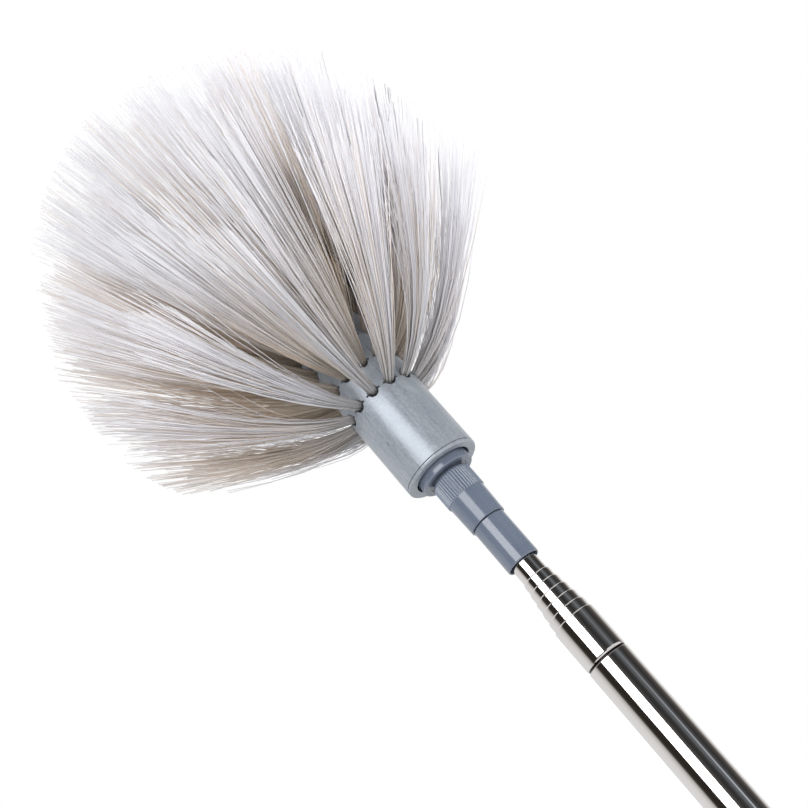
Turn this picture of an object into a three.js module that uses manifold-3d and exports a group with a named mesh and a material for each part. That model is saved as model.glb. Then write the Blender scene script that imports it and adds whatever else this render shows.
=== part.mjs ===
// Telescopic duster with a round bristle head. Millimetres, +Z from the handle's end face to the bristles.
import * as THREE from "three";
import { mergeVertices } from "three/addons/utils/BufferGeometryUtils.js";
import Module from "manifold-3d";

const wasm = await Module();
wasm.setup();

// Driving sizes of the pole
const TUBE_OD = 22;
const SECTION_COUNT = 7;
const DIAMETER_DROP = 1.4;
const TUBE_WALL = 0.3;
const TUBE_LENGTH = 380;
const GROOVE_BELOW_MOUTH = 24.4;
const GROOVE_WIDTH = 3.5;
const MOUTH_ROLL = 1.2;
const BUSH_SPIGOT = 2.5;
const BUSH_FLANGE = 2.6;
const SPRING_LENGTH = 12;
const TIP_EXPOSED = 9;

// Driving sizes of the handle
const CAP_PADDLE_HEIGHT = 18;
const CAP_PADDLE_THICKNESS = 13;
const CAP_SHOULDER_HEIGHT = 6;
const HANG_HOLE_DIAMETER = 9;
const GRIP_LENGTH = 110;
const GRIP_WALL = 2.35;
const GRIP_GROOVES = 5;
const GRIP_GROOVE_DEPTH = 0.8;

// Driving sizes of the neck
const SOCKET_WALL = 2.05;
const SOCKET_LENGTH = 26.7;
const SOCKET_DEPTH = 22;
const SOCKET_MOUTH_DEPTH = 4;
const SOCKET_MOUTH_GAP = 1.4;
const SKIRT_LENGTH = 17.1;
const SKIRT_WALL = 3.35;
const SKIRT_FLARE = 0.45;
const KNURL_LENGTH = 14.5;
const KNURL_RIBS = 44;
const RIB_HEIGHT = 0.6;
const COLLAR_OVERHANG = 3.95;
const COLLAR_BELOW_SEAM = 6;
const COLLAR_ABOVE_SEAM = 3.4;
const THREAD_PITCH = 4;
const THREAD_DEPTH = 1.4;
const THREAD_TURNS = 3;
const THREAD_SPIGOT = 16.6;

// Driving sizes of the bristle head
const RIM_WIDTH = 4.9;
const RIM_HEIGHT = 1.7;
const RIM_ROUNDING = 1.2;
const HUB_WALL = 3.5;
const RING_WALL = 7;
const ROW_COUNT = 4;
const ROW_FIRST = 46.7;
const ROW_PITCH = 16.2;
const TUFTS_PER_ROW = 12;
const CROWN_TUFTS = 6;
const HOLE_DIAMETER = 6;
const DOME_HEIGHT = 14.5;
const BALL_RADIUS = 126;
const BALL_BEYOND_HUB = 25.7;
const STRANDS_PER_TUFT = 6;
const STRAND_RADIUS = 0.7;
const STRAND_STRAIGHT = 22;
const ROOT_SHARE = 14 / 15;

// Clearances
const SEAT_GAP = 0.3;
const FIT_GAP = 0.15;
const FOOT_GAP = 0.1;
const GUIDE_SHARE = 0.3;
const RECESS_GAP = 1.05;
const THREAD_GAP = 0.35;
const BUNDLE_GAP_SHARE = 4 / 15;

// Facets
const ROUND = 16;
const HUB_ROUND = 2 * TUFTS_PER_ROW;
const THREAD_ROUND = 16;
const HOLE_ROUND = 6;

// Derived sizes of the pole
const STEP = BUSH_SPIGOT + BUSH_FLANGE + SEAT_GAP;
const TUBE_GAP = DIAMETER_DROP / 2 - TUBE_WALL;
const GUIDE_GAP = GUIDE_SHARE * TUBE_GAP;
const CAP_HEIGHT = CAP_PADDLE_HEIGHT + CAP_SHOULDER_HEIGHT;
const POLE_FOOT = CAP_HEIGHT + FOOT_GAP;
const tubeRadius = (section) => (TUBE_OD - (section - 1) * DIAMETER_DROP) / 2;
const tubeFoot = (section) => POLE_FOOT + (section - 1) * STEP;
const TIP_RADIUS = tubeRadius(SECTION_COUNT);
const SOCKET_FOOT = tubeFoot(SECTION_COUNT - 1) + TUBE_LENGTH + TIP_EXPOSED;
const TIP_LENGTH = SOCKET_FOOT + SOCKET_DEPTH - FOOT_GAP - tubeFoot(SECTION_COUNT);

// Derived sizes of the neck
const SOCKET_BORE = TIP_RADIUS + FIT_GAP;
const SOCKET_RADIUS = SOCKET_BORE + SOCKET_WALL;
const STEM_RADIUS = TIP_RADIUS - 0.6;
const COLLAR_BORE = STEM_RADIUS + SEAT_GAP;
const SKIRT_FOOT_RADIUS = COLLAR_BORE + SKIRT_WALL;
const SKIRT_TOP_RADIUS = SKIRT_FOOT_RADIUS + SKIRT_FLARE;
const KNURL_RADIUS = SKIRT_TOP_RADIUS + RIB_HEIGHT;
const COLLAR_RADIUS = KNURL_RADIUS + COLLAR_OVERHANG;
const SKIRT_FOOT = SOCKET_FOOT + SOCKET_LENGTH + SEAT_GAP;
const KNURL_FOOT = SKIRT_FOOT + SKIRT_LENGTH - SEAT_GAP;
const COLLAR_FOOT = KNURL_FOOT + KNURL_LENGTH;
const SEAM = COLLAR_FOOT + COLLAR_BELOW_SEAM;
const COLLAR_TOP = SEAM + COLLAR_ABOVE_SEAM;
const SPIGOT_TOP = COLLAR_TOP + THREAD_SPIGOT;
const SPIGOT_RADIUS = COLLAR_BORE + 2.5;
const THREAD_RADIUS = SPIGOT_RADIUS + THREAD_DEPTH;
const CLIP_HEIGHT = 1.2;
const CLIP_FOOT = SPIGOT_TOP + SEAT_GAP;
const CLIP_GROOVE_DEPTH = 1;
const STEM_TOP = CLIP_FOOT + CLIP_HEIGHT + 2;

// Derived sizes of the bristle head
const RECESS_RADIUS = COLLAR_RADIUS + RECESS_GAP;
const HUB_RADIUS = RECESS_RADIUS + RIM_WIDTH;
const HUB_BORE = HUB_RADIUS - HUB_WALL;
const PLUG_RADIUS = HUB_BORE - SEAT_GAP;
const RECESS_TOP = COLLAR_TOP + 0.6;
const rowHeight = (row) => SEAM + ROW_FIRST + (row - 1) * ROW_PITCH;
const RING_FOOT = rowHeight(1) - ROW_PITCH / 2;
const BASE_TOP = RING_FOOT - SEAT_GAP;
const HUB_SHOULDER = rowHeight(ROW_COUNT) + ROW_PITCH / 2;
const HUB_TOP = HUB_SHOULDER + DOME_HEIGHT;
const BALL_HEIGHT = HUB_TOP + BALL_BEYOND_HUB;
const CROWN_RADIUS = 0.53 * HUB_RADIUS;
const BUNDLE_RADIUS = ((1 - BUNDLE_GAP_SHARE) * HOLE_DIAMETER) / 2 - STRAND_RADIUS;
const ROW_TURN = -2;
const STAGGER = 180 / TUFTS_PER_ROW;
const HUB_START = ROW_TURN - STAGGER / 2;

// A closed geometry as a solid, with the triangles that a pole of a turned profile collapses left out.
function solid(geometry) {
  const bare = new THREE.BufferGeometry();
  bare.setAttribute("position", geometry.getAttribute("position"));
  if (geometry.index) {
    bare.setIndex(geometry.index);
  }
  const merged = mergeVertices(bare, 1e-4);
  const source = merged.index.array;
  const kept = [];
  for (let i = 0; i < source.length; i += 3) {
    const [a, b, c] = [source[i], source[i + 1], source[i + 2]];
    if (a !== b && b !== c && a !== c) {
      kept.push(a, b, c);
    }
  }
  const made = new wasm.Mesh({
    numProp: 3,
    vertProperties: new Float32Array(merged.attributes.position.array),
    triVerts: new Uint32Array(kept),
  });
  return new wasm.Manifold(made);
}

// A profile of radius and height pairs turned about Z, the outside listed upwards, from a starting angle.
function turned(profile, facets, start = 0) {
  const points = profile.map(([radius, height]) => new THREE.Vector2(radius, height));
  const geometry = new THREE.LatheGeometry(points, facets);
  geometry.rotateX(Math.PI / 2);
  geometry.rotateZ((Math.PI * start) / 180);
  return solid(geometry);
}

// The corners of a ring profile, closed on its first point.
function ring(inner, outer, foot, top) {
  return [
    [inner, foot],
    [outer, foot],
    [outer, top],
    [inner, top],
    [inner, foot],
  ];
}

// A flat outline pulled up from one height to another.
function pulled(outline, foot, top) {
  const shape = new THREE.Shape(outline);
  const geometry = new THREE.ExtrudeGeometry(shape, { depth: top - foot, bevelEnabled: false });
  geometry.translate(0, 0, foot);
  return solid(geometry);
}

// A point on a circle, counted in the same facets as a turned profile.
function facetPoint(radius, share) {
  const angle = 2 * Math.PI * share;
  return new THREE.Vector2(radius * Math.sin(angle), -radius * Math.cos(angle));
}

// A straight rod from one point towards a direction.
function rod(start, direction, radius, length, facets) {
  const geometry = new THREE.CylinderGeometry(radius, radius, length, facets);
  const turn = new THREE.Quaternion().setFromUnitVectors(new THREE.Vector3(0, 1, 0), direction);
  geometry.translate(0, length / 2, 0);
  geometry.applyQuaternion(turn);
  geometry.translate(start.x, start.y, start.z);
  return solid(geometry);
}

const duster = new THREE.Group();

function add(name, shape, colour, roughness, metalness) {
  const mesh = shape.getMesh();
  const geometry = new THREE.BufferGeometry();
  geometry.setAttribute("position", new THREE.BufferAttribute(mesh.vertProperties, 3));
  geometry.setIndex(new THREE.BufferAttribute(mesh.triVerts, 1));
  geometry.computeVertexNormals();
  const material = new THREE.MeshStandardMaterial({ color: colour, roughness, metalness });
  const node = new THREE.Mesh(geometry, material);
  node.name = name;
  duster.add(node);
}

const NECK_GREY = 0x6d7786;
const HUB_GREY = 0x9aa3af;
const STEEL = 0xc8c8c6;
const BRISTLE = 0xc9c6c8;
const BUSH_BLACK = 0x2b2d30;
const SPRING_BRASS = 0xb08d4f;

// End cap: a flat-sided paddle with the hanging hole, a round shoulder and a spigot up the widest tube
const GRIP_BORE = TUBE_OD / 2 + FIT_GAP;
const GRIP_RADIUS = GRIP_BORE + GRIP_WALL;
const capBody = turned(
  [
    [0, 0],
    [GRIP_RADIUS - 2, 0],
    [GRIP_RADIUS, 2],
    [GRIP_RADIUS, CAP_HEIGHT],
    [tubeRadius(1) - TUBE_WALL - FIT_GAP, CAP_HEIGHT],
    [tubeRadius(1) - TUBE_WALL - FIT_GAP, POLE_FOOT + BUSH_SPIGOT],
    [0, POLE_FOOT + BUSH_SPIGOT],
  ],
  ROUND,
);
const flatAway = new THREE.BoxGeometry(4 * GRIP_RADIUS, 2 * GRIP_RADIUS, CAP_PADDLE_HEIGHT);
flatAway.translate(0, GRIP_RADIUS + CAP_PADDLE_THICKNESS / 2, CAP_PADDLE_HEIGHT / 2 - 0.01);
const flatOther = flatAway.clone();
flatOther.rotateZ(Math.PI);
const hangHole = rod(
  new THREE.Vector3(0, -GRIP_RADIUS, CAP_PADDLE_HEIGHT / 2 + 0.5),
  new THREE.Vector3(0, 1, 0),
  HANG_HOLE_DIAMETER / 2,
  2 * GRIP_RADIUS,
  16,
);
add(
  "end_cap",
  capBody.subtract(solid(flatAway)).subtract(solid(flatOther)).subtract(hangHole),
  NECK_GREY,
  0.45,
  0,
);

// Grip: a sleeve over the widest tube with shallow finger grooves
const gripFoot = POLE_FOOT;
const gripTop = gripFoot + GRIP_LENGTH;
const gripProfile = [
  [GRIP_BORE, gripFoot],
  [GRIP_RADIUS, gripFoot],
];
for (let groove = 0; groove < GRIP_GROOVES; groove += 1) {
  const middle = gripFoot + (GRIP_LENGTH * (groove + 1)) / (GRIP_GROOVES + 1);
  gripProfile.push([GRIP_RADIUS, middle - 3.5]);
  gripProfile.push([GRIP_RADIUS - GRIP_GROOVE_DEPTH, middle]);
  gripProfile.push([GRIP_RADIUS, middle + 3.5]);
}
gripProfile.push([GRIP_RADIUS, gripTop - 2]);
gripProfile.push([GRIP_RADIUS - 1.2, gripTop]);
gripProfile.push([GRIP_BORE, gripTop]);
gripProfile.push([GRIP_BORE, gripFoot]);
add("handle_grip", turned(gripProfile, ROUND), NECK_GREY, 0.5, 0);

// Tubes: each has a mouth rolled in to the next tube and a rolled groove that stops the next tube's spring
for (let section = 1; section < SECTION_COUNT; section += 1) {
  const outer = tubeRadius(section);
  const inner = outer - TUBE_WALL;
  const neck = tubeRadius(section + 1) + GUIDE_GAP;
  const dent = TUBE_GAP - GUIDE_GAP;
  const foot = tubeFoot(section);
  const mouth = foot + TUBE_LENGTH;
  const groove = mouth - GROOVE_BELOW_MOUTH;
  const profile = [
    [inner, foot],
    [outer, foot],
    [outer, groove - GROOVE_WIDTH / 2],
    [outer - dent, groove],
    [outer, groove + GROOVE_WIDTH / 2],
    [outer, mouth - MOUTH_ROLL / 2],
    [outer - TUBE_WALL, mouth],
    [neck, mouth],
    [neck, mouth - MOUTH_ROLL / 2],
    [inner, mouth - MOUTH_ROLL],
    [inner, groove + GROOVE_WIDTH / 2],
    [inner - dent, groove],
    [inner, groove - GROOVE_WIDTH / 2],
    [inner, foot],
  ];
  add("tube_" + section, turned(profile, ROUND), STEEL, 0.12, 1);
}
const tipFoot = tubeFoot(SECTION_COUNT);
add(
  "tube_" + SECTION_COUNT,
  turned(ring(TIP_RADIUS - TUBE_WALL, TIP_RADIUS, tipFoot, tipFoot + TIP_LENGTH), ROUND),
  STEEL,
  0.12,
  1,
);

// Bushes and slit friction springs at the foot of each sliding tube
const SLIT_FACETS = 2;
for (let section = 2; section <= SECTION_COUNT; section += 1) {
  const radius = tubeRadius(section);
  const foot = tubeFoot(section);
  const guide = radius + TUBE_GAP - GUIDE_GAP;
  const spigot = radius - TUBE_WALL - FIT_GAP;
  const airHole = radius - 2.8;
  const profile = [
    [airHole, foot - BUSH_FLANGE],
    [guide, foot - BUSH_FLANGE],
    [guide, foot - FOOT_GAP],
    [spigot, foot - FOOT_GAP],
    [spigot, foot + BUSH_SPIGOT],
    [airHole, foot + BUSH_SPIGOT],
    [airHole, foot - BUSH_FLANGE],
  ];
  add("bush_" + section, turned(profile, ROUND), BUSH_BLACK, 0.6, 0);
  const outline = [];
  for (let facet = SLIT_FACETS / 2; facet <= ROUND - SLIT_FACETS / 2; facet += 1) {
    outline.push(facetPoint(guide, facet / ROUND));
  }
  for (let facet = ROUND - SLIT_FACETS / 2; facet >= SLIT_FACETS / 2; facet -= 1) {
    outline.push(facetPoint(radius + GUIDE_GAP, facet / ROUND));
  }
  const spring = pulled(outline, foot + FOOT_GAP, foot + FOOT_GAP + SPRING_LENGTH);
  add("friction_spring_" + section, spring, SPRING_BRASS, 0.35, 1);
}

// Pole socket: the lower sleeve takes the thinnest tube, its stem carries the screw collar
const socketMouth = TIP_RADIUS + SOCKET_MOUTH_GAP;
const socketShoulder = SOCKET_FOOT + SOCKET_LENGTH;
const clipGroove = STEM_RADIUS - CLIP_GROOVE_DEPTH;
add(
  "pole_socket",
  turned(
    [
      [0, SOCKET_FOOT + SOCKET_DEPTH],
      [SOCKET_BORE, SOCKET_FOOT + SOCKET_DEPTH],
      [SOCKET_BORE, SOCKET_FOOT + SOCKET_MOUTH_DEPTH],
      [socketMouth, SOCKET_FOOT + SOCKET_MOUTH_DEPTH],
      [socketMouth, SOCKET_FOOT],
      [SOCKET_RADIUS - 0.4, SOCKET_FOOT],
      [SOCKET_RADIUS, SOCKET_FOOT + 0.6],
      [SOCKET_RADIUS, socketShoulder],
      [STEM_RADIUS, socketShoulder],
      [STEM_RADIUS, CLIP_FOOT - 0.2],
      [clipGroove, CLIP_FOOT - 0.2],
      [clipGroove, CLIP_FOOT + CLIP_HEIGHT + 0.2],
      [STEM_RADIUS, CLIP_FOOT + CLIP_HEIGHT + 0.2],
      [STEM_RADIUS, STEM_TOP],
      [0, STEM_TOP],
    ],
    ROUND,
  ),
  NECK_GREY,
  0.3,
  0,
);

// Spring clip in the stem's groove, above the screw collar
const clipOutline = [];
const clipOuter = SPIGOT_RADIUS - 0.8;
for (let facet = 2; facet <= ROUND - 2; facet += 1) {
  clipOutline.push(facetPoint(clipOuter, facet / ROUND));
}
for (let facet = ROUND - 2; facet >= 2; facet -= 1) {
  clipOutline.push(facetPoint(clipGroove + FIT_GAP, facet / ROUND));
}
add("collar_clip", pulled(clipOutline, CLIP_FOOT, CLIP_FOOT + CLIP_HEIGHT), STEEL, 0.3, 1);

// A screw ridge about Z, a right-hand helix, from a foot height through some turns
function screwRidge(root, crest, rootHalf, crestHalf, foot, turns) {
  const steps = Math.round(turns * THREAD_ROUND);
  const corners = [
    [root, -rootHalf],
    [crest, -crestHalf],
    [crest, crestHalf],
    [root, rootHalf],
  ];
  const positions = [];
  for (let step = 0; step <= steps; step += 1) {
    const angle = (2 * Math.PI * step) / THREAD_ROUND;
    const rise = foot + (THREAD_PITCH * step) / THREAD_ROUND;
    for (const [radius, offset] of corners) {
      positions.push(radius * Math.cos(angle), radius * Math.sin(angle), rise + offset);
    }
  }
  const index = [];
  for (let step = 0; step < steps; step += 1) {
    for (let corner = 0; corner < 4; corner += 1) {
      const a = 4 * step + corner;
      const b = 4 * step + ((corner + 1) % 4);
      index.push(a, a + 4, b);
      index.push(b, a + 4, b + 4);
    }
  }
  const end = 4 * steps;
  index.push(0, 1, 2);
  index.push(0, 2, 3);
  index.push(end, end + 2, end + 1);
  index.push(end, end + 3, end + 2);
  const geometry = new THREE.BufferGeometry();
  geometry.setAttribute("position", new THREE.Float32BufferAttribute(positions, 3));
  geometry.setIndex(index);
  return solid(geometry);
}

// Screw collar: disc in the hub's recess, ribbed grip, tapered skirt and threaded spigot, turning on the stem
const CREST_HALF = 0.5;
const ROOT_HALF = 1.25;
const threadFoot = SPIGOT_TOP - 2 - THREAD_TURNS * THREAD_PITCH;
const collarBody = turned(
  [
    [COLLAR_BORE, SKIRT_FOOT],
    [SKIRT_FOOT_RADIUS, SKIRT_FOOT],
    [SKIRT_TOP_RADIUS, KNURL_FOOT],
    [SKIRT_TOP_RADIUS, COLLAR_FOOT],
    [COLLAR_RADIUS - 1.2, COLLAR_FOOT],
    [COLLAR_RADIUS, COLLAR_FOOT + 1.2],
    [COLLAR_RADIUS, COLLAR_TOP - 0.8],
    [COLLAR_RADIUS - 0.8, COLLAR_TOP],
    [SPIGOT_RADIUS, COLLAR_TOP],
    [SPIGOT_RADIUS, SPIGOT_TOP],
    [COLLAR_BORE, SPIGOT_TOP],
    [COLLAR_BORE, SKIRT_FOOT],
  ],
  ROUND,
);
const ribOutline = [];
for (let rib = 0; rib < KNURL_RIBS; rib += 1) {
  ribOutline.push(facetPoint(KNURL_RADIUS, rib / KNURL_RIBS));
  ribOutline.push(facetPoint(SKIRT_TOP_RADIUS, (rib + 0.5) / KNURL_RIBS));
}
const ribs = pulled(ribOutline, KNURL_FOOT, COLLAR_FOOT + 0.5);
const ribBore = turned(
  [
    [0, KNURL_FOOT - 1],
    [COLLAR_BORE + 1, KNURL_FOOT - 1],
    [COLLAR_BORE + 1, COLLAR_FOOT + 2],
    [0, COLLAR_FOOT + 2],
  ],
  ROUND,
);
const maleThread = screwRidge(
  SPIGOT_RADIUS - 0.3,
  THREAD_RADIUS,
  ROOT_HALF,
  CREST_HALF,
  threadFoot,
  THREAD_TURNS,
);
add(
  "screw_collar",
  collarBody.add(ribs.subtract(ribBore)).add(maleThread),
  NECK_GREY,
  0.3,
  0,
);

// Hub base: the rim ring with its recess, a plug up the hub's bore and the thread for the screw collar
const rimFoot = SEAM - RIM_HEIGHT;
const threadBore = SPIGOT_RADIUS + THREAD_GAP;
const boreTop = STEM_TOP + 3;
const baseBody = turned(
  [
    [0, boreTop],
    [threadBore, boreTop],
    [threadBore, RECESS_TOP],
    [RECESS_RADIUS, RECESS_TOP],
    [RECESS_RADIUS, rimFoot],
    [HUB_RADIUS - RIM_ROUNDING, rimFoot],
    [HUB_RADIUS - 0.3 * RIM_ROUNDING, rimFoot + 0.3 * RIM_ROUNDING],
    [HUB_RADIUS, rimFoot + RIM_ROUNDING],
    [HUB_RADIUS, SEAM],
    [PLUG_RADIUS, SEAM],
    [PLUG_RADIUS, BASE_TOP],
    [0, BASE_TOP],
  ],
  HUB_ROUND,
  HUB_START,
);
const femaleTurns = THREAD_TURNS + 2.5;
const femaleThread = screwRidge(
  SPIGOT_RADIUS - 0.3,
  THREAD_RADIUS + THREAD_GAP,
  ROOT_HALF + THREAD_GAP,
  CREST_HALF + THREAD_GAP,
  threadFoot - 2 * THREAD_PITCH,
  femaleTurns,
);
add("hub_base", baseBody.subtract(femaleThread), HUB_GREY, 0.5, 0);

// Hub shell: a straight cylinder with a low dome, drilled for the tufts
const shellFoot = SEAM + SEAT_GAP;
const DOME_STEPS = 3;
const shellOuter = [];
const shellInner = [];
for (let step = 0; step <= DOME_STEPS; step += 1) {
  const angle = (Math.PI / 2) * (step / DOME_STEPS);
  const cosine = step === DOME_STEPS ? 0 : Math.cos(angle);
  shellOuter.push([HUB_RADIUS * cosine, HUB_SHOULDER + DOME_HEIGHT * Math.sin(angle)]);
  shellInner.push([HUB_BORE * cosine, HUB_SHOULDER + (DOME_HEIGHT - HUB_WALL) * Math.sin(angle)]);
}
const shellProfile = [[HUB_BORE, shellFoot], [HUB_RADIUS, shellFoot]];
shellProfile.push(...shellOuter);
shellProfile.push(...shellInner.reverse());
shellProfile.push([HUB_BORE, shellFoot]);
let shell = turned(shellProfile, HUB_ROUND, HUB_START);

// Where each row's tufts leave the hub, how they lean at the hub and where their tips lie on the ball
const degrees = Math.PI / 180;
const domeHeightAt = (radius) => HUB_SHOULDER + DOME_HEIGHT * Math.sqrt(1 - (radius / HUB_RADIUS) ** 2);
const tuftRows = [
  { count: TUFTS_PER_ROW, turn: ROW_TURN, radius: HUB_RADIUS, height: rowHeight(1), lean: 75, tip: 105 },
  { count: TUFTS_PER_ROW, turn: ROW_TURN + STAGGER, radius: HUB_RADIUS, height: rowHeight(2), lean: 70, tip: 86 },
  { count: TUFTS_PER_ROW, turn: ROW_TURN, radius: HUB_RADIUS, height: rowHeight(3), lean: 62, tip: 66 },
  { count: TUFTS_PER_ROW, turn: ROW_TURN + STAGGER, radius: HUB_RADIUS, height: rowHeight(4), lean: 52, tip: 46 },
  {
    count: CROWN_TUFTS,
    turn: ROW_TURN,
    radius: CROWN_RADIUS,
    height: domeHeightAt(CROWN_RADIUS),
    lean: 22,
    tip: 24,
  },
  { count: 1, turn: 0, radius: 0, height: HUB_TOP, lean: 0, tip: 0 },
];

// A tuft's own frame: outwards, along its circle, and its leaning axis with the normal towards the front
function tuftFrame(row, tuft) {
  const around = degrees * (row.turn + (360 * tuft) / row.count);
  const outward = new THREE.Vector3(Math.sin(around), -Math.cos(around), 0);
  const along = new THREE.Vector3(Math.cos(around), Math.sin(around), 0);
  const up = new THREE.Vector3(0, 0, 1);
  const lean = degrees * row.lean;
  const axis = outward.clone().multiplyScalar(Math.sin(lean)).addScaledVector(up, Math.cos(lean));
  const front = outward.clone().multiplyScalar(-Math.cos(lean)).addScaledVector(up, Math.sin(lean));
  const mouth = outward.clone().multiplyScalar(row.radius).addScaledVector(up, row.height);
  return { around, along, axis, front, mouth };
}

const rootBack = HUB_WALL + SEAT_GAP + ROOT_SHARE * BUNDLE_RADIUS;
const drilled = [];
for (const row of tuftRows) {
  for (let tuft = 0; tuft < row.count; tuft += 1) {
    const { axis, mouth } = tuftFrame(row, tuft);
    const reach = rootBack + 2;
    const start = mouth.clone().addScaledVector(axis, -reach);
    drilled.push(rod(start, axis, HOLE_DIAMETER / 2, 2 * reach, HOLE_ROUND));
  }
}
shell = shell.subtract(wasm.Manifold.union(drilled));
add("hub_shell", shell, HUB_GREY, 0.5, 0);

// A strand of three sides from a root round a bend to a pointed tip
function strand(root, bend, tip, side) {
  const stations = [root, bend];
  const directions = [bend.clone().sub(root).normalize(), tip.clone().sub(root).normalize()];
  const positions = [];
  stations.forEach((station, place) => {
    const direction = directions[place];
    const across = side.clone().addScaledVector(direction, -side.dot(direction)).normalize();
    const third = direction.clone().cross(across);
    for (let corner = 0; corner < 3; corner += 1) {
      const angle = (2 * Math.PI * corner) / 3;
      const point = station.clone();
      point.addScaledVector(across, STRAND_RADIUS * Math.cos(angle));
      point.addScaledVector(third, STRAND_RADIUS * Math.sin(angle));
      positions.push(point.x, point.y, point.z);
    }
  });
  positions.push(tip.x, tip.y, tip.z);
  const index = [0, 2, 1];
  for (let corner = 0; corner < 3; corner += 1) {
    const next = (corner + 1) % 3;
    index.push(corner, next, corner + 3);
    index.push(next, next + 3, corner + 3);
    index.push(corner + 3, next + 3, 6);
  }
  const geometry = new THREE.BufferGeometry();
  geometry.setAttribute("position", new THREE.Float32BufferAttribute(positions, 3));
  geometry.setIndex(index);
  return solid(geometry);
}

const TIP_FAN = 11;
const TIP_REACH = 8;
const CENTRE_FAN = 9;
const BEND_SPREAD = 1.8;

// All strands of one row, each tuft a six-cornered bundle that opens towards its tips
function rowStrands(row) {
  const strands = [];
  for (let tuft = 0; tuft < row.count; tuft += 1) {
    const { around, along, axis, front, mouth } = tuftFrame(row, tuft);
    for (let place = 0; place < STRANDS_PER_TUFT; place += 1) {
      const turn = (2 * Math.PI * (place + 0.5)) / STRANDS_PER_TUFT;
      const [aside, ahead] = [Math.cos(turn), Math.sin(turn)];
      const station = (distance, spread) =>
        mouth
          .clone()
          .addScaledVector(axis, distance)
          .addScaledVector(along, spread * aside)
          .addScaledVector(front, spread * ahead);
      const slope = Math.max(Math.sin(degrees * row.lean), 0.8);
      const root = station(-rootBack / slope, BUNDLE_RADIUS);
      const bend = station(STRAND_STRAIGHT, BEND_SPREAD * BUNDLE_RADIUS);
      const length = BALL_RADIUS * (place % 2 === 0 ? 1 : 0.96);
      const polar = degrees * (row.count === 1 ? CENTRE_FAN : row.tip - TIP_REACH * ahead);
      const turnTo = row.count === 1 ? Math.atan2(aside, -ahead) : around + degrees * TIP_FAN * aside;
      const tip = new THREE.Vector3(
        length * Math.sin(polar) * Math.sin(turnTo),
        -length * Math.sin(polar) * Math.cos(turnTo),
        BALL_HEIGHT + length * Math.cos(polar),
      );
      strands.push(strand(root, bend, tip, along));
    }
  }
  return strands;
}

// Backing rings stacked up the hub's bore, each one body with the strands of its row
const ringBore = PLUG_RADIUS - RING_WALL;
for (let row = 1; row < ROW_COUNT; row += 1) {
  const foot = RING_FOOT + (row - 1) * ROW_PITCH;
  const place = tuftRows[row - 1];
  const profile = ring(ringBore, PLUG_RADIUS, foot, foot + ROW_PITCH - SEAT_GAP);
  const backing = turned(profile, TUFTS_PER_ROW, place.turn - STAGGER);
  const tufts = rowStrands(place);
  add("bristle_row_" + row, wasm.Manifold.union([backing, ...tufts]), BRISTLE, 0.35, 0);
}
const crownFoot = RING_FOOT + (ROW_COUNT - 1) * ROW_PITCH;
const crownProfile = [
  [ringBore, crownFoot],
  [PLUG_RADIUS, crownFoot],
];
const crownRise = DOME_HEIGHT - HUB_WALL - SEAT_GAP;
for (let step = 0; step <= DOME_STEPS; step += 1) {
  const angle = (Math.PI / 2) * (step / DOME_STEPS);
  const cosine = step === DOME_STEPS ? 0 : Math.cos(angle);
  crownProfile.push([PLUG_RADIUS * cosine, HUB_SHOULDER + crownRise * Math.sin(angle)]);
}
crownProfile.push([0, HUB_SHOULDER]);
crownProfile.push([ringBore, HUB_SHOULDER - 3]);
crownProfile.push([ringBore, crownFoot]);
const crownTufts = tuftRows.slice(ROW_COUNT - 1).flatMap(rowStrands);
add(
  "bristle_crown",
  wasm.Manifold.union([turned(crownProfile, TUFTS_PER_ROW, ROW_TURN), ...crownTufts]),
  BRISTLE,
  0.35,
  0,
);

export default duster;
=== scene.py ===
import math

import bpy
import numpy as np
from mathutils import Matrix, Vector


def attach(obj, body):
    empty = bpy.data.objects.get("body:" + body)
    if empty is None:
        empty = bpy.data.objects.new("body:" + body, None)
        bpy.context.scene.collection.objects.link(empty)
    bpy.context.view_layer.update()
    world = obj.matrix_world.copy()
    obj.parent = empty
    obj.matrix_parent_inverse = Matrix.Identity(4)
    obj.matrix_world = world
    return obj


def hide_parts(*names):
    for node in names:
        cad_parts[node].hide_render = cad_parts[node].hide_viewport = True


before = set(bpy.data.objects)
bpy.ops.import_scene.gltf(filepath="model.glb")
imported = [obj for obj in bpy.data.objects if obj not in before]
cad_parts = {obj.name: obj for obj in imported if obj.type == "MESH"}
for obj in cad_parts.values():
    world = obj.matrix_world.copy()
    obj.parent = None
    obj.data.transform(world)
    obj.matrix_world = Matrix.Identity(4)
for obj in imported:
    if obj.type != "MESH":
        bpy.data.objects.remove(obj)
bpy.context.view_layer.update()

# End cap: a plug of glossy blue-grey plastic that closes the foot of the widest tube.
# It is moulded in one, its lower half flattened to a paddle with a hole for a hook, and its
# spigot is pushed up into the tube.
mm = 0.001


def alone(piece):
    bpy.ops.object.select_all(action="DESELECT")
    piece.select_set(True)
    bpy.context.view_layer.objects.active = piece


LONG_RUN = 2.5
END_RING = 0.3


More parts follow.
